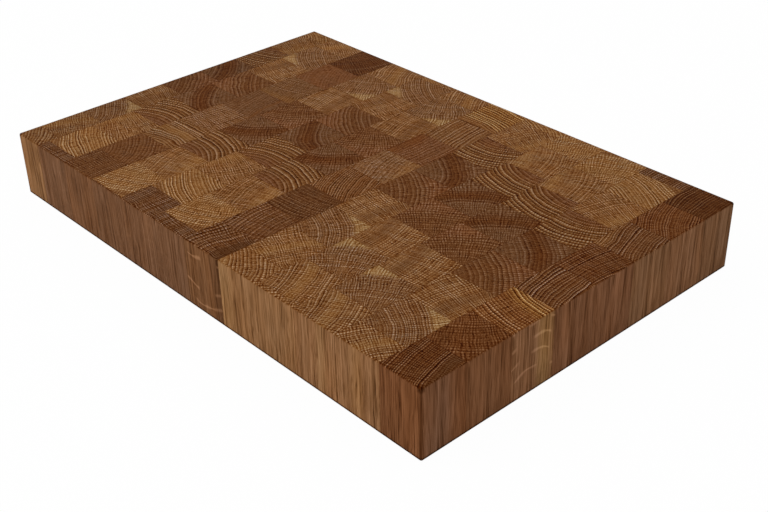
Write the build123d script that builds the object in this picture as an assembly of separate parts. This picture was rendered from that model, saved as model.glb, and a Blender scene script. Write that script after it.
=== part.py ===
"""End-grain oak chopping block, glued up from short oak blocks that stand with their grain upright.

The block is rectangular. It lies flat on its underside: X runs along its length, Y along its width,
and Z up, along the grain. The origin is the middle of the underside.

Rows of blocks stand side by side along X. Within a row the blocks follow each other along Y, and each
row is shifted from the last, so that the joints are staggered like brickwork. The glued panel was
sawn and sanded to size afterwards, which cut into the rows and blocks at the rim, and its outer edges
were rounded over. Rows are numbered from the -X end, and the blocks of a row from the -Y face.
"""

from build123d import *
import os

# Driving dimensions, in millimetres
block_length = 600.0  # X, across the rows
block_width = 400.0  # Y, along a row
block_height = 70.0  # Z, along the grain
edge_radius = 2.0  # rounding of the twelve outer edges

# The glue-up: oak staves stand in rows, and the sizing cuts take these widths off its rim
row_count = 12
staves_in_width = 8
first_row_trim = 12.2  # off the row at the -X end
last_row_trim = 5.8  # off the row at the +X end
side_trim = 3.2  # off each long side
least_end_width = 4.0  # an end block cut thinner than this counts as part of its neighbour
saw_overrun = 5.0  # how far the cutting boxes pass the outer faces

blocks_per_node = 2  # neighbouring blocks of a row that share a node

# A whole stave's section follows from the glue-up's size before the sizing cuts
stave_across = (block_length + first_row_trim + last_row_trim) / row_count
stave_along = (block_width + 2 * side_trim) / staves_in_width

# The width that is left of each row's first block, as a share of a whole stave
first_block_shares = (0.48, 0.26, 0.81, 0.03, 0.69, 0.30, 0.83, 0.61, 0.105, 0.84, 0.555, 0.96)


def spans_between(joints, whole):
    """The stretches between the joints, about the middle, with the two outer ones passing the faces."""
    inner = [joint - whole / 2 for joint in joints]
    edges = [-whole / 2 - saw_overrun, *inner, whole / 2 + saw_overrun]
    return list(zip(edges[:-1], edges[1:]))


def row_spans():
    """Where the rows lie along X."""
    first_joint = stave_across - first_row_trim
    joints = [first_joint + stave_across * number for number in range(row_count - 1)]
    return spans_between(joints, block_length)


def block_spans(first_share):
    """Where a row's blocks lie along Y, for the share of a stave that its first block keeps."""
    joints = [stave_along * (first_share + number) for number in range(staves_in_width)]
    kept = [joint for joint in joints if least_end_width <= joint <= block_width - least_end_width]
    return spans_between(kept, block_width)


def rounded_panel():
    """The finished outline of the whole block, with its edges rounded over."""
    panel = Pos(Z=block_height / 2) * Box(block_length, block_width, block_height)
    return fillet(panel.edges(), edge_radius)


def oak_block(panel, row_span, block_span):
    """One oak block: the part of the finished outline between its glue joints."""
    width = row_span[1] - row_span[0]
    depth = block_span[1] - block_span[0]
    height = block_height + 2 * saw_overrun
    middle = Pos(sum(row_span) / 2, sum(block_span) / 2, block_height / 2)
    return (panel & middle * Box(width, depth, height)).solid()


def node_name(row_number, first, last):
    """The name of a node that holds the row's blocks from first to last."""
    if first == last:
        return f"row_{row_number:02d}_block_{first}"
    return f"row_{row_number:02d}_blocks_{first}_{last}"


def row_nodes(panel, row_number, row_span):
    """One row, as nodes of neighbouring blocks that meet face to face at the glue joints."""
    first_share = first_block_shares[(row_number - 1) % len(first_block_shares)]
    blocks = [oak_block(panel, row_span, span) for span in block_spans(first_share)]
    nodes = {}
    for start in range(0, len(blocks), blocks_per_node):
        group = blocks[start : start + blocks_per_node]
        name = node_name(row_number, start + 1, start + len(group))
        nodes[name] = Compound(label=name, children=group)
    return nodes


def chopping_block():
    """Every node of the block by name."""
    panel = rounded_panel()
    nodes = {}
    for row_number, row_span in enumerate(row_spans(), 1):
        nodes.update(row_nodes(panel, row_number, row_span))
    return nodes


nodes = chopping_block()
os.makedirs("parts", exist_ok=True)
for name, node in nodes.items():
    export_step(node, f"parts/{name}.step")

block_count = sum(len(node.solids()) for node in nodes.values())
wood_volume = sum(node.volume for node in nodes.values())
print(f"staves {stave_across:.1f} x {stave_along:.1f} mm, {row_count} rows")
print(f"{block_count} oak blocks in {len(nodes)} nodes, {wood_volume:.0f} cubic mm of oak")
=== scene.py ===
# %% [markdown]
# # An end-grain oak chopping block
#
# The block is glued up from short square lengths of oak, called staves here, that stand with their
# grain upright. Eleven long joints divide it into twelve rows. Nine of them are slices of one panel that
# were turned over or round before they were glued to the next ones, so the same staves come back from
# row to row, often mirrored.
#
# The measured solids are loaded first and stay where they are. This lesson gives them their wood: one
# shader that grows rings, rays and pores in three dimensions, and a description of every stave.

# %% Load the measured block
import math

import bpy
from mathutils import Matrix, Vector


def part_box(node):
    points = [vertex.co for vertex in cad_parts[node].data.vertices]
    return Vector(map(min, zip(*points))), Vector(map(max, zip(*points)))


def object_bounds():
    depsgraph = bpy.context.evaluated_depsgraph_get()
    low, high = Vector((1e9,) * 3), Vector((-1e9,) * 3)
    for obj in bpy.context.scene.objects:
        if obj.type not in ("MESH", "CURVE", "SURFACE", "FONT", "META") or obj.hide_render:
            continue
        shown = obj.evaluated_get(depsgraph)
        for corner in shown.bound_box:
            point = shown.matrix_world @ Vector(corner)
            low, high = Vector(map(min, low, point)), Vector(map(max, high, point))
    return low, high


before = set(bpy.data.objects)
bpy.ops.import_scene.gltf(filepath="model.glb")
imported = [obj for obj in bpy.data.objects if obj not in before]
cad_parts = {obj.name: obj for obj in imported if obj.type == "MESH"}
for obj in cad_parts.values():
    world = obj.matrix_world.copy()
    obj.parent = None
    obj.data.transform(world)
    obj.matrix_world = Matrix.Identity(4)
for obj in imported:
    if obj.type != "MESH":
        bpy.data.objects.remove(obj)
measured_box = [list(map(float, corner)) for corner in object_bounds()]
print(f"{len(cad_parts)} nodes, from {measured_box[0]} to {measured_box[1]} m")

# %% [markdown]
# ## The camera
#
# The photograph was taken from above the right-hand front corner. Its lens and place come from the
# block itself: six straight outer edges and their vanishing points fix them, once the size is known.
# The horizon leans by a little over a degree, so the camera is rolled about its own axis by that much.

# %% Camera
photo_width, photo_height = 768, 512
sensor_width = 36.0
lens = 58.36
eye = Vector((0.8221, -0.7027, 0.6340))
aim_point = Vector((0.1020, -0.0554, 0.0350))
lean = math.radians(1.296)
farthest_seen = 100.0  # metres

camera = bpy.data.objects.new("camera", bpy.data.cameras.new("camera"))
camera.data.sensor_width = sensor_width
camera.data.lens = lens
camera.data.clip_end = farthest_seen
turned_to_block = (aim_point - eye).to_track_quat("-Z", "Y").to_matrix().to_4x4()
camera.matrix_world = Matrix.Translation(eye) @ turned_to_block @ Matrix.Rotation(-lean, 4, "Z")
bpy.context.scene.collection.objects.link(camera)
bpy.context.scene.camera = camera


def photo_pixel(point):
    """Where a point in metres falls in the photograph's frame."""
    seen = camera.matrix_world.inverted() @ Vector(point)
    scale = lens / sensor_width * photo_width / -seen.z
    return round(photo_width / 2 + seen.x * scale, 1), round(photo_height / 2 - seen.y * scale, 1)


near_corner = (measured_box[1][0], measured_box[0][1], measured_box[1][2])
print("the near top corner falls at pixel", photo_pixel(near_corner))

# %% [markdown]
# ## A pale floor and soft light
#
# The photograph shows the block on plain white. A floor that is only painted white would come out grey
# where it is far from the lamps, so for the camera, and in reflections, most of it shines with a
# strength of one. The rest is ordinary white paint, which still takes the block's soft shadow.
#
# The light is even: a pale world does most of the work, and one large soft lamp over the left-hand
# front adds a little direction, so that the right-hand end is somewhat darker than the front.

# %% Floor
floor_reach = 12.0
floor_drop = 0.0002
white_share = 0.975
white_paint = (0.90, 0.90, 0.90, 1)

signs = ((-1, -1), (1, -1), (1, 1), (-1, 1))
corners = [(x * floor_reach, y * floor_reach, -floor_drop) for x, y in signs]
floor_mesh = bpy.data.meshes.new("floor")
floor_mesh.from_pydata(corners, [], [(0, 1, 2, 3)])
floor = bpy.data.objects.new("floor", floor_mesh)
bpy.context.scene.collection.objects.link(floor)


def plug(socket, value):
    """Feeds a socket from another node's output, or sets it to a fixed value."""
    if isinstance(value, bpy.types.NodeSocket):
        socket.id_data.links.new(value, socket)
    else:
        socket.default_value = value


def seen_directly(tree):
    """One where a ray comes from the camera, or from it by way of a reflection or clear material."""
    path = tree.nodes.new("ShaderNodeLightPath")
    total = path.outputs["Is Camera Ray"]
    for ray in ("Is Glossy Ray", "Is Transmission Ray"):
        either = tree.nodes.new("ShaderNodeMath")
        either.operation = "MAXIMUM"
        plug(either.inputs[0], total)
        plug(either.inputs[1], path.outputs[ray])
        total = either.outputs[0]
    return total


def share_of(tree, factor, share):
    """The factor times a fixed share."""
    times = tree.nodes.new("ShaderNodeMath")
    times.operation = "MULTIPLY"
    plug(times.inputs[0], factor)
    plug(times.inputs[1], share)
    return times.outputs[0]


floor_paint = bpy.data.materials.new("white_floor")
floor_paint.use_nodes = True
tree = floor_paint.node_tree
tree.nodes.clear()
paint = tree.nodes.new("ShaderNodeBsdfDiffuse")
paint.inputs["Color"].default_value = white_paint
glow = tree.nodes.new("ShaderNodeEmission")
blend = tree.nodes.new("ShaderNodeMixShader")
plug(blend.inputs[0], share_of(tree, seen_directly(tree), white_share))
plug(blend.inputs[1], paint.outputs[0])
plug(blend.inputs[2], glow.outputs[0])
plug(tree.nodes.new("ShaderNodeOutputMaterial").inputs["Surface"], blend.outputs[0])
floor_mesh.materials.append(floor_paint)
print(f"floor {2 * floor_reach:.0f} m square")

# %% World and lamps
world_light = 0.80
lamp_size = 1.6
key_place, key_power = Vector((-0.9, -1.7, 1.9)), 14.0

world = bpy.data.worlds.new("studio")
world.use_nodes = True
bpy.context.scene.world = world
tree = world.node_tree
tree.nodes.clear()
dim = tree.nodes.new("ShaderNodeBackground")
dim.inputs["Strength"].default_value = world_light
bright = tree.nodes.new("ShaderNodeBackground")
bright.inputs["Strength"].default_value = 1.0
for background in (dim, bright):
    background.inputs["Color"].default_value = (1, 1, 1, 1)
blend = tree.nodes.new("ShaderNodeMixShader")
plug(blend.inputs[0], seen_directly(tree))
plug(blend.inputs[1], dim.outputs[0])
plug(blend.inputs[2], bright.outputs[0])
plug(tree.nodes.new("ShaderNodeOutputWorld").inputs["Surface"], blend.outputs[0])


def soft_lamp(name, place, power):
    """A square area lamp that faces the block."""
    lamp = bpy.data.objects.new(name, bpy.data.lights.new(name, "AREA"))
    lamp.data.size = lamp_size
    lamp.data.energy = power
    lamp.location = place
    lamp.rotation_euler = (-place).to_track_quat("-Z", "Y").to_euler()
    bpy.context.scene.collection.objects.link(lamp)


soft_lamp("key", key_place, key_power)
bpy.context.scene.view_settings.view_transform = "Standard"
print(f"world {world_light}, key lamp {key_power} W at {key_place.length:.1f} m")

# %% [markdown]
# ## Wood that is solid all through
#
# A picture of wood wrapped round a box would show the same lines on the top and on the sides. Real
# wood is solid: rings on the end of a stave run down its sides as straight upright stripes. So the oak
# is worked out from the place inside the stave, in millimetres, and each face shows its own cut through
# it. All staves share one node group, whose inputs describe the tree that a stave came from.

# %% The oak node group and its inputs
oak = bpy.data.node_groups.new("oiled_oak", "ShaderNodeTree")
oak_inputs = {
    "Centre": "Vector",  # middle of the whole stave, metres; its third number slides the slice up
    "Turn": "Vector",  # 1000 or -1000 each way: how the stave was turned, and metres to millimetres
    "Pith": "Vector",  # the tree's heart from the stave's middle; third, how far the rings wander
    "Rings": "Vector",  # width of a ring, how strongly it shows, and a number to vary it
    "Detail": "Vector",  # strength of the rays, of the pores and of the cloudiness
    "Band": "Vector",  # a band of other colour: how far out from the middle, half its width, how soft
    "Side": "Vector",  # how much lighter its upright faces are than its end, in red, green and blue
    "Marks": "Vector",  # how strongly ray flecks and its joints show on its upright faces; third is zero
    "Tone": "Color",
    "Band tone": "Color",
}
for name, kind in oak_inputs.items():
    oak.interface.new_socket(name=name, in_out="INPUT", socket_type="NodeSocket" + kind)
for name, kind in {"Color": "Color", "Roughness": "Float", "Height": "Float"}.items():
    oak.interface.new_socket(name=name, in_out="OUTPUT", socket_type="NodeSocket" + kind)
given = oak.nodes.new("NodeGroupInput").outputs
result = oak.nodes.new("NodeGroupOutput").inputs
print(len(oak_inputs), "inputs describe a stave")

# %% [markdown]
# Every step below adds a few small nodes, so a handful of helpers keeps them readable. Each makes one
# node, feeds it, and returns its output, which the next step can use as a number.

# %% Helpers for the node group
vector_results = {"LENGTH": "Value", "DOT_PRODUCT": "Value"}


def calc(operation, *values):
    """One step of arithmetic."""
    node = oak.nodes.new("ShaderNodeMath")
    node.operation = operation
    for socket, value in zip(node.inputs, values):
        plug(socket, value)
    return node.outputs[0]


def calc_vector(operation, *values):
    """One step of arithmetic on three numbers at once."""
    node = oak.nodes.new("ShaderNodeVectorMath")
    node.operation = operation
    for socket, value in zip(node.inputs, values):
        plug(socket, value)
    return node.outputs[vector_results.get(operation, "Vector")]


def split(vector):
    """The three numbers of a vector."""
    node = oak.nodes.new("ShaderNodeSeparateXYZ")
    plug(node.inputs[0], vector)
    return node.outputs[:]


def join(x, y, z):
    """Three numbers as a vector."""
    node = oak.nodes.new("ShaderNodeCombineXYZ")
    for socket, value in zip(node.inputs, (x, y, z)):
        plug(socket, value)
    return node.outputs[0]


def rise(value, low, high, start=0.0, end=1.0):
    """A smooth step: start below low, end above high."""
    node = oak.nodes.new("ShaderNodeMapRange")
    node.interpolation_type = "SMOOTHSTEP"
    for socket, number in zip(node.inputs, (value, low, high, start, end)):
        plug(socket, number)
    return node.outputs[0]


def fall(value, low, high):
    """A smooth step down: 1 below low, 0 above high."""
    return rise(value, low, high, 1.0, 0.0)


def clouds(place, detail=0.0, coloured=False):
    """Smooth random noise whose lumps are about one unit of the place across."""
    node = oak.nodes.new("ShaderNodeTexNoise")
    plug(node.inputs["Vector"], place)
    plug(node.inputs["Scale"], 1.0)
    plug(node.inputs["Detail"], detail)
    return node.outputs["Color" if coloured else "Fac"]


def chance(number):
    """A random number from 0 to 1 that belongs to this whole number."""
    node = oak.nodes.new("ShaderNodeTexWhiteNoise")
    node.noise_dimensions = "1D"
    plug(node.inputs["W"], number)
    return node.outputs["Value"]


def centred(value, strength):
    """Noise from 0 to 1 as a change up or down of at most half the strength."""
    return calc("MULTIPLY", calc("SUBTRACT", value, 0.5), strength)


print("helpers ready")

# %% [markdown]
# ## Where a point lies in its tree
#
# Each ring is a circle round the pith, the heart of the tree, which lies well outside most staves.
# Trees aren't drawn with compasses, so the place is first pushed about a little by soft noise that
# changes slowly up the trunk. What counts then is how far out the point lies, and how far round.
#
# End grain shows rings and rays plainly, while the upright faces show long strands. So many later steps
# use one number on the end grain and another on upright faces, told apart by which way they face.

# %% Place, distance out and distance round
wander_across = 26.0  # millimetres from one bulge of a ring to the next
wander_along = 190.0
trunk_lean = (18.0, -11.0, 0.0)  # millimetres that the pith drifts sideways in each metre up the block
upright_below, level_above = 0.3, 0.9  # the upward part of a surface's direction
noise_middle = (0.5, 0.5, 0.5)
level_only = (1.0, 1.0, 0.0)

coordinates = oak.nodes.new("ShaderNodeTexCoord")
facing_up = calc("ABSOLUTE", split(coordinates.outputs["Normal"])[2])


def on_end(side, end):
    """One number on upright faces and another on the end grain."""
    return rise(facing_up, upright_below, level_above, side, end)


up_block = split(coordinates.outputs["Object"])[2]
from_centre = calc_vector("SUBTRACT", coordinates.outputs["Object"], given["Centre"])
stave_place = calc_vector("MULTIPLY", from_centre, given["Turn"])
across_u, across_v, along = split(stave_place)

pith_u, pith_v, wander = split(given["Pith"])
seed = split(given["Rings"])[2]
bulges = calc_vector("DIVIDE", stave_place, (wander_across, wander_across, wander_along))
bulges = calc_vector("ADD", bulges, join(seed, seed, seed))
push = calc_vector("SUBTRACT", clouds(bulges, detail=1.5, coloured=True), noise_middle)
push = calc_vector("MULTIPLY", push, join(wander, wander, 0.0))
drift = calc_vector("MULTIPLY", join(up_block, up_block, 0.0), trunk_lean)
pith = join(pith_u, pith_v, 0.0)
from_pith = calc_vector("ADD", calc_vector("SUBTRACT", stave_place, pith), push)
from_pith = calc_vector("ADD", from_pith, drift)
from_pith = calc_vector("MULTIPLY", from_pith, level_only)

middle_radius = calc_vector("LENGTH", pith)
outward = calc_vector("NORMALIZE", calc_vector("MULTIPLY", pith, (-1.0, -1.0, 0.0)))
outward_u, outward_v, _ = split(outward)
sideways = join(calc("MULTIPLY", outward_v, -1.0), outward_u, 0.0)
angle = calc(
    "ARCTAN2",
    calc_vector("DOT_PRODUCT", from_pith, sideways),
    calc_vector("DOT_PRODUCT", from_pith, outward),
)
radius = calc_vector("LENGTH", from_pith)
distance_out = calc("SUBTRACT", radius, middle_radius)
distance_round = calc("MULTIPLY", angle, middle_radius)
print("place in the tree: distance out and distance round")

# %% [markdown]
# ## Growth rings
#
# A ring starts with a pale line of large open pores, laid down in spring, and goes over into dense
# wood that is darkest where the year ends. Light and dark meet there, which makes the lines crisp. No
# two years are alike: some rings are far wider than their neighbours, some lines are strong and others
# faint, and good and lean years come in groups.
#
# The pattern is cut from the distance out. Its whole part numbers the year, and its fraction says how
# far through the year the point lies. Noise along the distance stretches some years and squeezes
# others, and a random number for each year sets how strongly it shows.

# %% Rings
width_change, width_lumps = 5.4, 0.13  # how unevenly the years grew, and how often that changes
spring_full, spring_fades, spring_over = 0.14, 0.18, 0.55  # shares of a year
late_starts, late_full = 0.60, 0.97
late_darkness = 0.72  # of the year's dark end, where its pale line counts as 1
faintest_year, strongest_year = 0.45, 1.15
year_groups, group_slice = 0.15, 5.0  # groups of good or lean years in a millimetre; where in the noise

ring_width, ring_strength, _ = split(given["Rings"])
slow = clouds(join(calc("MULTIPLY", radius, width_lumps), seed, 0.0), detail=2.0)
uneven = calc("ADD", distance_out, centred(slow, width_change))
years = calc("DIVIDE", uneven, ring_width)
year = calc("FLOOR", years)
season = calc("FRACT", years)
spring = calc("MULTIPLY", rise(season, 0.0, spring_full), fall(season, spring_fades, spring_over))
late = rise(season, late_starts, late_full)
year_strength = rise(chance(calc("ADD", year, seed)), 0.0, 1.0, faintest_year, strongest_year)
ring_line = calc("SUBTRACT", spring, calc("MULTIPLY", late, late_darkness))
ring_line = calc("MULTIPLY", ring_line, year_strength)
good_years = clouds(join(calc("MULTIPLY", radius, year_groups), seed, group_slice), detail=1.0)
print(f"rings made, each {faintest_year} to {strongest_year} times as strong as usual")

# %% [markdown]
# ## Rays
#
# Oak has rays: pale ribbons of cells that run from the pith to the bark like the spokes of a wheel.
# End on they are fine straight lines across the rings. Here they come from thin sheets, one every few
# millimetres round the trunk, each broken up along the spoke and up the trunk.
#
# Between them run finer spokes, evenly spaced and gently bent, which cut the ring lines into a weave.
# Their gap is about the least that still shows when the whole block is in the picture.

# %% Rays
ray_gap = 2.1  # millimetres from one sheet to the next
ray_core, ray_half_width = 0.05, 0.36
ray_length, ray_height = 22.0, 6.0
waver_out, waver_up, waver_width = 36.0, 11.0, 4.0  # over what lengths a sheet wavers, and how far
lowest_place, highest_place = 0.40, 0.60  # where in its gap a sheet may lie
broken_below, whole_above = 0.34, 0.52  # of the noise that breaks a sheet up
slices_apart = 3.7  # keeps the breaks of neighbouring sheets unlike each other
faintest_ray = 0.65

waver_place = join(calc("DIVIDE", radius, waver_out), seed, calc("DIVIDE", along, waver_up))
waver = centred(clouds(waver_place), waver_width)
sheets = calc("DIVIDE", calc("ADD", distance_round, waver), ray_gap)
sheet = calc("FLOOR", sheets)
sheet_chance = chance(calc("ADD", sheet, seed))
sheet_middle = rise(sheet_chance, 0.0, 1.0, lowest_place, highest_place)
off_sheet = calc("ABSOLUTE", calc("SUBTRACT", calc("FRACT", sheets), sheet_middle))
on_sheet = fall(calc("MULTIPLY", off_sheet, ray_gap), ray_core, ray_half_width)
patches = join(
    calc("DIVIDE", radius, ray_length),
    calc("MULTIPLY", sheet, slices_apart),
    calc("DIVIDE", along, ray_height),
)
ray_line = calc("MULTIPLY", on_sheet, rise(clouds(patches), broken_below, whole_above))
ray_line = calc("MULTIPLY", ray_line, rise(sheet_chance, 0.0, 1.0, faintest_ray, 1.0))
print(f"rays made, {ray_gap} mm apart")

# %% Spokes between the rays
spoke_gap = 2.6  # millimetres
bend_round, bend_out, bend_up, bend_width = 12.0, 16.0, 60.0, 3.0  # over what lengths, and how far
dark_until, pale_from = 0.05, 0.45  # shares of the gap, from its middle

bend_place = join(
    calc("DIVIDE", distance_round, bend_round),
    calc("DIVIDE", radius, bend_out),
    calc("DIVIDE", along, bend_up),
)
bent = calc("ADD", distance_round, centred(clouds(bend_place), bend_width))
off_spoke = calc("ABSOLUTE", calc("SUBTRACT", calc("FRACT", calc("DIVIDE", bent, spoke_gap)), 0.5))
spoke = rise(off_spoke, dark_until, pale_from)
print(f"spokes made, {spoke_gap} mm apart")

# %% [markdown]
# ## Ray flecks
#
# Where an upright face lies nearly along the rays, it slices their sheets open lengthwise. They show as
# a few pale ribbons that bend gently across the grain, thin and broken. Here they are the level lines of
# the height in the tree, bent by slow noise, and a second noise lets only patches of them through. The
# photograph shows them on two staves, so each stave says how strongly it has them.

# %% Ray flecks on the upright faces
fleck_gap = 15.0  # millimetres up the trunk from one ribbon to the next
fleck_bend, fleck_bend_lengths = 24.0, (27.0, 27.0, 90.0)
thickness_lengths = (9.0, 9.0, 9.0)
thin_below, thick_above = 0.3, 0.7  # of the noise that sets a ribbon's thickness
fleck_core, thinnest_half, thickest_half = 0.3, 1.0, 2.8
fleck_length = 22.0
hidden_below, shown_above = 0.47, 0.56  # of the noise that lets ribbons through

bend = clouds(calc_vector("DIVIDE", stave_place, fleck_bend_lengths))
ribbons = calc("DIVIDE", calc("ADD", along, centred(bend, fleck_bend)), fleck_gap)
off_ribbon = calc("ABSOLUTE", calc("SUBTRACT", calc("FRACT", ribbons), 0.5))
thickness = clouds(calc_vector("DIVIDE", stave_place, thickness_lengths))
half_thickness = rise(thickness, thin_below, thick_above, thinnest_half, thickest_half)
ribbon_place = join(
    calc("DIVIDE", across_u, fleck_length),
    calc("DIVIDE", across_v, fleck_length),
    calc("FLOOR", ribbons),
)
let_through = rise(clouds(ribbon_place), hidden_below, shown_above)
fleck = fall(calc("MULTIPLY", off_ribbon, fleck_gap), fleck_core, half_thickness)
fleck = calc("MULTIPLY", fleck, let_through)
print(f"flecks made, {2 * thinnest_half:.0f} to {2 * thickest_half:.1f} mm thick")

# %% [markdown]
# ## Pores, strands and fibres
#
# The open pores are long tubes: dark specks on the end grain and dark dashes up the sides. They are
# densest in the pale spring line. Fine strands and wider streaks run up the sides too. All three come
# from noise that is stretched along the grain, and swayed a little first, because no tree grows dead
# straight. The fibres are noise stretched the other way, along the rays, and show on the end grain.
#
# Over all of it lies a slow cloudiness, because no board takes oil evenly, and some parts of a stave are
# a little warmer in colour than others.

# %% Pores and strands
sway_lengths, sway_width = (13.0, 13.0, 26.0), 3.0  # over what lengths the grain sways, and how far
strand_lumps = (0.95, 0.95, 0.022)  # in each millimetre, across the grain and along it
streak_lumps = (0.30, 0.30, 0.010)
wood_below, pore_above = 0.50, 0.66  # of the strands' noise
pores_outside_spring = 0.55  # against those in the spring line

sway = clouds(calc_vector("DIVIDE", stave_place, sway_lengths), coloured=True)
sway = calc_vector("MULTIPLY", calc_vector("SUBTRACT", sway, noise_middle), (sway_width, sway_width, 0.0))
swayed = calc_vector("ADD", stave_place, sway)
strand = clouds(calc_vector("MULTIPLY", swayed, strand_lumps), detail=1.0)
streak = clouds(calc_vector("MULTIPLY", swayed, streak_lumps), detail=2.0)
pore = rise(strand, wood_below, pore_above)
pore = calc("MULTIPLY", pore, rise(spring, 0.0, 1.0, pores_outside_spring, 1.0))
print("pores, strands and streaks made")

# %% Fibres, clouds and warmth
fibre_round, fibre_out, fibre_up = 1.05, 0.18, 0.018  # lumps in each millimetre
cloud_lumps = (0.055, 0.055, 0.016)
warm_lumps = (0.045, 0.045, 0.012)

fibre_place = join(
    calc("MULTIPLY", distance_round, fibre_round),
    calc("MULTIPLY", radius, fibre_out),
    calc("MULTIPLY", along, fibre_up),
)
fibre = clouds(fibre_place, detail=1.0)
cloud_place = calc_vector("MULTIPLY", stave_place, cloud_lumps)
cloud = clouds(calc_vector("ADD", cloud_place, join(seed, 0.0, seed)), detail=3.0)
warm_place = calc_vector("MULTIPLY", stave_place, warm_lumps)
warmth = centred(clouds(calc_vector("ADD", warm_place, join(0.0, seed, seed)), detail=1.0), 1.0)
ray_strength, pore_strength, cloud_strength = split(given["Detail"])
print("fibres, clouds and warmth made")

# %% [markdown]
# ## Joints and edges
#
# On the end grain the glue lines are hair-thin and dark, fainter in some places than in others. They lie
# half a stave from its middle. On upright faces they are softer and most can hardly be seen, so each
# stave says how plainly its joints show there.
#
# The block's outer edges were rounded, and its colour is darker along them: the top edges only a
# little, the upright edges more, and the four top corners most. Along the foot the colour is darker
# still, and that is painted shade, where the block stands on the floor. How near an edge a point
# lies is the larger of its distances to the two faces that meet there.

# %% Joints
millimetres = 1000.0  # in a metre
glue_core, glue_reach = (0.3, 0.10), (1.5, 0.5)  # from the joint, on upright faces and on the end grain
glue_lumps = (0.12, 0.12, 0.12)
faint_below, full_above, faintest_glue = 0.3, 0.6, 0.35

inner_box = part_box("row_05_blocks_3_4")
half_across = (inner_box[1][0] - inner_box[0][0]) * millimetres / 2
half_along = (inner_box[1][1] - inner_box[0][1]) * millimetres / 4
to_side = calc("SUBTRACT", half_across, calc("ABSOLUTE", across_u))
to_end = calc("SUBTRACT", half_along, calc("ABSOLUTE", across_v))
to_joint = calc("ABSOLUTE", calc("MINIMUM", to_side, to_end))
glue = fall(to_joint, on_end(*glue_core), on_end(*glue_reach))
patchy = clouds(calc_vector("MULTIPLY", stave_place, glue_lumps), detail=1.0)
glue = calc("MULTIPLY", glue, rise(patchy, faint_below, full_above, faintest_glue, 1.0))
fleck_strength, joint_strength, _ = split(given["Marks"])
glue = calc("MULTIPLY", glue, on_end(joint_strength, 1.0))
print(f"a whole stave is {2 * half_across:.1f} x {2 * half_along:.1f} mm")

# %% Edges
block_size = [(high - low) * millimetres for low, high in zip(*measured_box)]
block_place = calc_vector("MULTIPLY", coordinates.outputs["Object"], (millimetres,) * 3)
x, y, z = split(block_place)
to_face_x = calc("SUBTRACT", block_size[0] / 2, calc("ABSOLUTE", x))
to_face_y = calc("SUBTRACT", block_size[1] / 2, calc("ABSOLUTE", y))
to_top = calc("SUBTRACT", block_size[2], z)
to_wall = calc("MINIMUM", to_face_x, to_face_y)
to_upright_edge = calc("MAXIMUM", to_face_x, to_face_y)
edges = {  # distance to the edge, up to where the dark is full, where it ends, and how dark it is
    "top": (calc("MAXIMUM", to_top, to_wall), 0.3, 2.6, 0.12),
    "upright": (to_upright_edge, 0.3, 2.2, 0.66),
    # painted shade: a dark band along the foot, where the block meets the floor
    "foot": (calc("MAXIMUM", z, to_wall), 1.8, 3.8, 0.85),
    "top corners": (calc("MAXIMUM", to_upright_edge, to_top), 1.5, 6.0, 0.55),
}
# darker edges, together with the painted shade along the foot
edge_dark_and_foot_shade = 0.0
for distance, full_until, over_from, darker in edges.values():
    edge_dark_and_foot_shade = calc("ADD", edge_dark_and_foot_shade, calc("MULTIPLY", fall(distance, full_until, over_from), darker))
print("darker edges:", ", ".join(edges))

# %% [markdown]
# ## Putting the colour together
#
# The stave's own tone is changed to the band's tone where the band lies. A band with a crisp edge, such
# as sapwood, is smoother than the wood beside it, so its rings and fibres are fainter.
#
# Then one brightness gathers all the lines and specks, each as a change up or down from 1. A table says
# how much each counts on the upright faces and on the end grain: rings, rays, pores, spokes and fibres
# make the end grain, and strands, streaks, flecks and more of the cloudiness make the sides.

# %% The tone and its band
crisp_below, soft_above = 3.0, 8.0  # millimetres over which a band fades out
lines_in_band = 0.35  # how much of the rings and fibres a crisp band keeps

band_out, band_half, band_soft = split(given["Band"])
off_band = calc("ABSOLUTE", calc("SUBTRACT", uneven, band_out))
in_band = fall(off_band, calc("SUBTRACT", band_half, band_soft), calc("ADD", band_half, band_soft))
mix = oak.nodes.new("ShaderNodeMix")
mix.data_type = "RGBA"
plug(mix.inputs[0], in_band)
plug(mix.inputs[6], given["Tone"])  # its sixth and seventh inputs are the two colours
plug(mix.inputs[7], given["Band tone"])
wood = mix.outputs[2]
crisp_band = calc("MULTIPLY", in_band, fall(band_soft, crisp_below, soft_above))
smoother = rise(crisp_band, 0.0, 1.0, 1.0, lines_in_band)
print("tone and band made")

# %% All lines and specks as one brightness
usual_line, usual_ray, usual_pore = 0.10, 0.12, 0.25  # what leaves the brightness as it is
weakest_weave, strongest_weave = 0.5, 1.5  # how much a spoke changes a ring line on the end grain
group_change = 0.3  # how much good and lean years differ
glue_brightness = 0.62
# the darker edges and the painted shade at the foot leave at least this share of the brightness
least_left_by_edge_dark, least_bright = 0.3, 0.12

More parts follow.
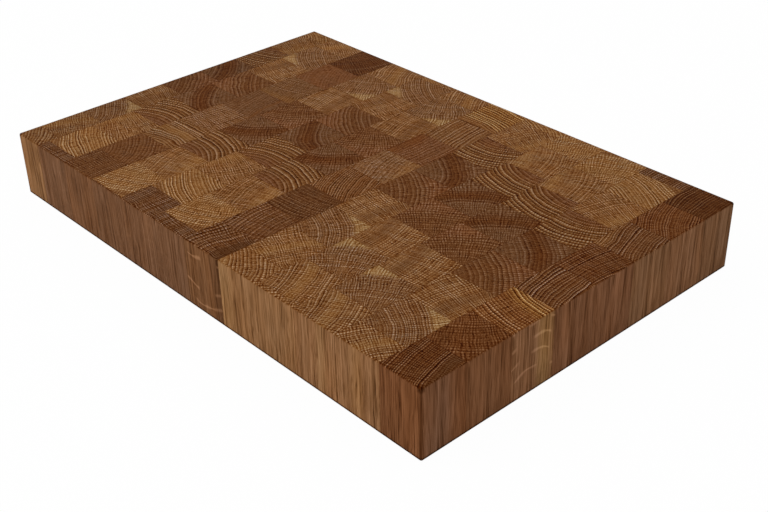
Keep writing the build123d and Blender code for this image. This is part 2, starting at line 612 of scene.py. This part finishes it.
woven = rise(spoke, 0.0, 1.0, on_end(1.0, weakest_weave), on_end(1.0, strongest_weave))
woven_line = calc("MULTIPLY", calc("SUBTRACT", ring_line, usual_line), woven)
changes = {  # each with how much it counts on the upright faces and on the end grain
    "rings": (calc("MULTIPLY", woven_line, calc("MULTIPLY", ring_strength, smoother)), 0.22, 1.0),
    "good years": (calc("MULTIPLY", centred(good_years, group_change), ring_strength), 0.3, 1.0),
    "rays": (calc("MULTIPLY", calc("SUBTRACT", ray_line, usual_ray), ray_strength), 0.1, 1.0),
    "pores": (calc("MULTIPLY", calc("SUBTRACT", usual_pore, pore), pore_strength), 0.35, 1.0),
    "flecks": (fleck, fleck_strength, 0.0),
    "spokes": (centred(spoke, 1.0), 0.0, 0.50),
    "fibres": (centred(fibre, smoother), 0.0, 1.6),
    "strands": (centred(strand, 1.0), 2.0, 0.0),
    "streaks": (centred(streak, 1.0), 1.4, 0.0),
    "clouds": (centred(cloud, cloud_strength), 2.4, 1.0),
}
brightness = 1.0
for pattern, on_sides, on_top in changes.values():
    brightness = calc("ADD", brightness, calc("MULTIPLY", pattern, on_end(on_sides, on_top)))
brightness = calc("MULTIPLY", brightness, rise(glue, 0.0, 1.0, 1.0, glue_brightness))
# darker edges and the painted shade along the foot multiply the brightness
brightness = calc("MULTIPLY", brightness, calc("MAXIMUM", calc("SUBTRACT", 1.0, edge_dark_and_foot_shade), least_left_by_edge_dark))
brightness = calc("MAXIMUM", brightness, least_bright)
print("brightness made from", ", ".join(changes))

# %% [markdown]
# Dark wood is redder and its colour is stronger, while pale wood is yellower and greyer. So the
# brightness acts more on green than on red, and more again on blue, most of all in the dark lines of
# the end grain. End grain also drinks oil and is darker than the upright faces, so each stave says how
# much lighter and greyer its sides are.

# %% Colour
dark_wood, pale_wood = 0.8, 1.5  # brightness
green_powers, blue_over_green = (1.64, 1.54), (1.72, 1.55)  # in dark and in pale end grain
green_power_on_sides, blue_power_on_sides = 1.2, 1.5
warm_red, warm_blue = 0.16, 0.24  # how much the warmer parts gain in red and lose in blue

green_power = rise(brightness, dark_wood, pale_wood, *green_powers)
green = calc("POWER", brightness, on_end(green_power_on_sides, green_power))
blue_power = calc("MULTIPLY", green_power, rise(brightness, dark_wood, pale_wood, *blue_over_green))
blue = calc("POWER", brightness, on_end(blue_power_on_sides, blue_power))
per_channel = join(brightness, green, blue)
paler = join(*(on_end(part, 1.0) for part in split(given["Side"])))
more_red = calc("ADD", 1.0, calc("MULTIPLY", warmth, warm_red))
less_blue = calc("SUBTRACT", 1.0, calc("MULTIPLY", warmth, warm_blue))
wood = calc_vector("MULTIPLY", wood, join(more_red, 1.0, less_blue))
wood = calc_vector("MULTIPLY", wood, paler)
plug(result["Color"], calc_vector("MULTIPLY", wood, per_channel))
print("colour made")

# %% [markdown]
# ## How it feels
#
# Oil sinks into sanded oak and leaves hardly any shine. Dense wood polishes up a little more than the
# open pores do. The height follows the same lines as the colour, in millimetres: pores and joints lie
# less than a tenth of a millimetre low, rays stand a touch proud, and fibres vary it a little.

# %% Roughness and height
usual_roughness = 0.50
rougher_spring, rougher_pore, rougher_cloud = 0.10, 0.12, 0.22
spring_depth, pore_depth, glue_depth = 0.025, 0.050, 0.090
ray_proud, fibre_height = 0.015, 0.050

roughness = calc("ADD", usual_roughness, calc("MULTIPLY", spring, rougher_spring))
roughness = calc("ADD", roughness, calc("MULTIPLY", pore, rougher_pore))
roughness = calc("ADD", roughness, centred(cloud, rougher_cloud))
plug(result["Roughness"], roughness)

height = calc("MULTIPLY", spring, -spring_depth)
height = calc("SUBTRACT", height, calc("MULTIPLY", pore, pore_depth))
height = calc("ADD", height, calc("MULTIPLY", ray_line, ray_proud))
height = calc("ADD", height, centred(fibre, fibre_height))
height = calc("SUBTRACT", height, calc("MULTIPLY", glue, glue_depth))
plug(result["Height"], height)
print(len(oak.nodes), "nodes in the oak group")

# %% [markdown]
# ## The colours of the staves
#
# Oiled oak runs from honey to nearly chocolate. Fourteen tones are enough to tell the staves apart, as
# each stave can also be a shade darker or paler than its tone. They are colours of the end grain, in
# linear values, as the shader uses them.

# %% Tones
tones = {
    "honey": (0.2255, 0.0925, 0.0244),
    "tan": (0.1910, 0.0740, 0.0197),
    "amber": (0.1850, 0.0675, 0.0128),
    "ash_brown": (0.1730, 0.0690, 0.0215),
    "walnut": (0.1590, 0.0608, 0.0169),
    "hazel": (0.1580, 0.0570, 0.0136),
    "copper": (0.1495, 0.0498, 0.0114),
    "chestnut": (0.1470, 0.0516, 0.0156),
    "russet": (0.1355, 0.0417, 0.0096),
    "umber": (0.1215, 0.0418, 0.0110),
    "olive_brown": (0.1205, 0.0470, 0.0153),
    "mahogany": (0.0930, 0.0268, 0.0054),
    "chocolate": (0.0845, 0.0282, 0.0073),
    "sapwood": (0.2560, 0.1240, 0.0390),
}
print(len(tones), "tones")

# %% [markdown]
# ## The staves of the panel
#
# Ten staves were glued into a panel, and nine rows of the block are slices of it. Each is described as
# it lies in a slice that wasn't turned: where its pith lies, how wide and strong its rings are, its
# tone, and a band of another tone where it has one. Seen from above with the front face below, rings
# that lean like a slash have their pith above to the left, and rings that lean the other way have it
# above to the right. What isn't said of a stave is as on an ordinary one.

# %% Panel staves
no_band = (0.0, 0.0, 1.0)
ring_contrast, ray_contrast = 1.5, 1.3  # change in brightness where a stave's rings or rays count as 1
ordinary = {"rays": 0.5, "pores": 0.8, "cloud": 0.25, "wander": 6.0}
ordinary |= {"side": (1.50, 1.92, 3.1), "flecks": 0.0, "joints": 0.3}


def stave(tone, pith, width, rings=0.9, band=no_band, band_tone=None, shade=1.0, **details):
    """One stave's description, with the values of an ordinary stave where none are given."""
    values = ordinary | details
    return {
        "Pith": (*pith, values["wander"]),
        "Rings": (width, ring_contrast * rings, 0.0),
        "Detail": (ray_contrast * values["rays"], values["pores"], values["cloud"]),
        "Band": band,
        "Side": values["side"],
        "Marks": (values["flecks"], values["joints"], 0.0),
        "Tone": (*(shade * part for part in tones[tone]), 1.0),
        "Band tone": (*(shade * part for part in tones[band_tone or tone]), 1.0),
    }


panel = [
    stave("umber", (150, 10), 2.7, rings=0.85, rays=0.8, side=(1.39, 1.80, 3.07), shade=0.94),
    stave("honey", (-66, 135), 3.1, rings=0.62, rays=0.3, band=(29, 3, 2.5), band_tone="walnut"),
    stave("tan", (140, 54), 3.1, rings=0.42, rays=0.9, band=(-22, 7, 5), band_tone="honey"),
    stave("hazel", (-15, -70), 4.5, rings=0.75, wander=5, band=(-34, 18, 12), band_tone="chestnut",
          shade=0.96),
    stave("olive_brown", (-63, 73), 3.9, rings=0.33, rays=0.4, band=(6, 10, 9), band_tone="mahogany",
          shade=1.08),
    stave("umber", (-72, 88), 4.2, rings=0.38, rays=0.4, band=(32, 18, 10), band_tone="chestnut",
          shade=1.04),
    stave("tan", (160, 33), 3.1, rings=0.48, rays=0.9, band=(-13, 6, 4), band_tone="walnut"),
    stave("walnut", (-67, 99), 2.4, rings=0.58, rays=0.8, pores=1.0, band=(41, 20, 3), band_tone="sapwood",
          shade=1.03),
    stave("tan", (180, 88), 2.9, rings=0.56, rays=0.7, band=(0, 5, 4), band_tone="honey",
          side=(1.31, 1.56, 2.36), joints=0.9, shade=0.98),
    stave("tan", (-90, 90), 3.4, rings=0.51, rays=0.4, band=(-18, 8, 5), band_tone="honey",
          side=(1.29, 1.57, 2.32), joints=0.9),
]
print(len(panel), "panel staves")

# %% [markdown]
# ## Rows made of other staves
#
# Three rows aren't slices of that panel: the third, the seventh and the last. They are listed from the
# front face backwards.

# %% Other rows
third_row = [
    stave("umber", (160, 0), 3.2, rings=0.45, side=(1.42, 1.76, 2.80), shade=0.96),
    stave("umber", (-60, -60), 3.5, rings=0.38, shade=1.07),
    stave("tan", (10, -120), 3.9, rings=0.8, wander=11, band=(0, 5, 4), band_tone="honey", shade=0.9),
    stave("ash_brown", (-150, 20), 4.2, rings=0.48, rays=0.9),
    stave("olive_brown", (140, 20), 3.6, rings=0.28, rays=0.2, pores=0.6, band=(-18, 2, 2),
          band_tone="umber", shade=1.1),
    stave("ash_brown", (-40, 145), 3.4, rings=0.38, rays=0.4, pores=0.6, band=(26, 8, 5),
          band_tone="tan", shade=0.85),
    stave("chestnut", (100, 60), 3.5, rings=0.2, rays=0.2, pores=0.5, shade=1.02),
    stave("mahogany", (-120, 60), 3.0, rings=0.8, rays=0.7, shade=0.97),
]
seventh_row = [
    stave("umber", (120, -15), 5.2, rings=0.6, rays=1.0, wander=8, band=(-22, 8, 4),
          band_tone="chocolate", flecks=0.75, joints=1.0, side=(1.46, 1.82, 2.7), shade=1.02),
    stave("umber", (115, 20), 4.2, rings=0.5, rays=1.0, shade=1.06),
    stave("umber", (-10, 100), 4.2, rings=0.36, rays=0.5, shade=0.87),
    stave("copper", (120, 57), 2.5, rings=0.74, rays=0.8, shade=0.98),
    stave("ash_brown", (140, 46), 4.0, rings=0.33, rays=0.8, pores=1.1, band=(-24, 8, 6),
          band_tone="tan"),
    stave("chestnut", (-150, 0), 4.3, rings=0.31, rays=0.3, band=(-20, 8, 6), band_tone="russet",
          shade=0.99),
    stave("walnut", (150, 20), 4.2, rings=0.50, rays=0.5, shade=1.05),
    stave("amber", (-10, -130), 3.7, rings=0.86, rays=0.5, band=(-22, 6, 5), band_tone="hazel",
          shade=1.1),
]
last_row = [
    stave("mahogany", (190, 51), 2.3, rings=0.97, band=(-18, 6, 4), band_tone="chocolate",
          side=(1.69, 2.20, 4.0), shade=1.08),
    stave("russet", (-80, 80), 3.5, rings=0.45, rays=0.5, side=(1.40, 1.82, 3.13), shade=0.87),
    stave("copper", (24, 120), 3.3, rings=0.82, wander=6, band=(-17, 8, 8), band_tone="amber",
          flecks=0.55, joints=0.8, side=(1.16, 1.56, 3.0), shade=1.14),
    stave("umber", (180, 28), 3.2, rings=1.0, rays=0.3, side=(1.23, 1.47, 2.39), shade=1.05),
    stave("russet", (150, -20), 2.9, rings=0.73, rays=1.1, side=(1.49, 2.01, 3.8), shade=0.84),
    stave("umber", (150, 45), 2.6, rings=0.79, pores=1.0, band=(26, 8, 6), band_tone="hazel",
          side=(1.46, 1.95, 3.2), shade=1.03),
    stave("russet", (130, 73), 2.3, rings=0.7, rays=0.4, side=(1.57, 2.27, 4.3), shade=0.92),
    stave("mahogany", (150, 10), 2.9, rings=0.76, rays=0.5, side=(2.09, 3.35, 7.4), shade=0.86),
]
print(len(third_row) + len(seventh_row) + len(last_row), "other staves")

# %% [markdown]
# ## How each slice was turned
#
# Turning a slice over mirrors it along the row or across it. The list gives, for each row of the panel,
# the number of the stave at its front end, whether the numbers then go up or down, and whether the
# slice is mirrored left to right or front to back. Last comes how dark the end grain of the row took
# the oil, where 1 is usual. Its upright faces don't change with that.

# %% Rows
slices = {
    1: (9, -1, (1, -1), 0.86),
    2: (0, 1, (-1, 1), 1.0),
    4: (1, 1, (1, 1), 1.0),  # its first stave is a sliver in front of number 1
    5: (0, 1, (-1, 1), 1.0),
    6: (0, 1, (1, 1), 1.0),
    8: (9, -1, (1, -1), 1.0),
    9: (9, -1, (-1, -1), 1.0),
    10: (8, -1, (-1, -1), 0.98),
    11: (8, -1, (1, -1), 0.98),
}
own_staves = {3: third_row, 7: seventh_row, 12: last_row}
slice_rise = 0.085  # metres of stave from one slice to the next


def described(row, block):
    """The description of a block, the way it is turned, and a number that varies it."""
    if row in own_staves:
        return own_staves[row][block - 1], (1, 1), 10.0 * row + block, 1.0
    first, step, turn, oiled = slices[row]
    number = first + step * (block - 1)
    return panel[number], turn, float(number), oiled


print(len(slices), "slices of the panel")

# %% [markdown]
# ## A material for every node
#
# A node of the model holds two neighbouring blocks, so its material chooses between two descriptions
# by the side of their joint on which a point lies. The joint's place is read from the node itself. The
# choice is made before the oak group, so that the group runs only once.

# %% The staves inside a node
stave_width = half_across * 2 / millimetres
stave_length = half_along * 2 / millimetres
least_part = 0.001  # metres; a shorter part of a stave than this isn't shown


def staves_inside(name, row, blocks):
    """Where each stave of a node begins along Y, and its description, from the front backwards."""
    low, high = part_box(name)
    middle_x = high[0] - stave_width / 2 if row == 1 else low[0] + stave_width / 2
    first_joint = low[1] if blocks[0] > 1 else high[1] - stave_length * (len(blocks) - 1)
    if blocks[0] == 1:
        first_joint -= stave_length
    found = [(first_joint + stave_length * number, block) for number, block in enumerate(blocks)]
    if low[1] < first_joint - least_part:
        found.insert(0, (first_joint - stave_length, blocks[0] - 1))
    return [(start, values_of(row, block, (middle_x, start + stave_length / 2))) for start, block in found]


def values_of(row, block, middle):
    """The oak group's inputs for one block."""
    words, turn, number, oiled = described(row, block)
    width, strength, _ = words["Rings"]
    dimmed = {name: (*(oiled * part for part in words[name][:3]), 1.0) for name in ("Tone", "Band tone")}
    return {
        **words,
        **dimmed,
        "Side": tuple(part / oiled for part in words["Side"]),
        "Centre": (*middle, -slice_rise * row),
        "Turn": (turn[0] * millimetres, turn[1] * millimetres, millimetres),
        "Rings": (width, strength, number),
    }


example = staves_inside("row_04_blocks_1_2", 4, [1, 2])
print("the first node of row 4 shows", len(example), "staves")

# %% Choosing between the staves of a node
mix_kinds = {  # a Mix node's type, first input and output for each kind of value
    "Color": ("RGBA", 6, 2),
    "Vector": ("VECTOR", 4, 1),
}


def chosen(tree, factor, kind, first, second):
    """The first value in front of the joint, and the second behind it."""
    if first == second:
        return first
    node = tree.nodes.new("ShaderNodeMix")
    node.data_type, place, out = mix_kinds[kind]
    plug(node.inputs[0], factor)
    plug(node.inputs[place], first)
    plug(node.inputs[place + 1], second)
    return node.outputs[out]


def behind_joint(tree, place):
    """One behind a joint at this place along Y, and zero in front of it."""
    parts = tree.nodes.new("ShaderNodeSeparateXYZ")
    plug(parts.inputs[0], tree.nodes.new("ShaderNodeTexCoord").outputs["Object"])
    behind = tree.nodes.new("ShaderNodeMath")
    behind.operation = "GREATER_THAN"
    plug(behind.inputs[0], parts.outputs[1])
    plug(behind.inputs[1], place)
    return behind.outputs[0]


print("a node's material can choose between its staves")

# %% The oak of one node
bump_distance = 0.001  # metres for each unit of the height, which is in millimetres
surface_shine = 0.006


def oak_material(name, staves):
    """The oiled oak of one node."""
    material = bpy.data.materials.new("oak_" + name)
    material.use_nodes = True
    tree = material.node_tree
    group = tree.nodes.new("ShaderNodeGroup")
    group.node_tree = oak
    gates = [behind_joint(tree, start) for start, _ in staves[1:]]
    for socket, kind in oak_inputs.items():
        value = staves[0][1][socket]
        for gate, (_, description) in zip(gates, staves[1:]):
            value = chosen(tree, gate, kind, value, description[socket])
        plug(group.inputs[socket], value)
    bump = tree.nodes.new("ShaderNodeBump")
    bump.inputs["Distance"].default_value = bump_distance
    plug(bump.inputs["Height"], group.outputs["Height"])
    shader = tree.nodes["Principled BSDF"]
    shader.inputs["Specular IOR Level"].default_value = surface_shine
    plug(shader.inputs["Base Color"], group.outputs["Color"])
    plug(shader.inputs["Roughness"], group.outputs["Roughness"])
    plug(shader.inputs["Normal"], bump.outputs[0])
    return material


print("material maker ready")

# %% Give every node its oak
for name, node in sorted(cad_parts.items()):
    words = name.split("_")
    row, blocks = int(words[1]), [int(word) for word in words[3:]]
    material = oak_material(name, staves_inside(name, row, blocks))
    for slot in node.material_slots:
        slot.material = material
print(len(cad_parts), "nodes finished in oiled oak")
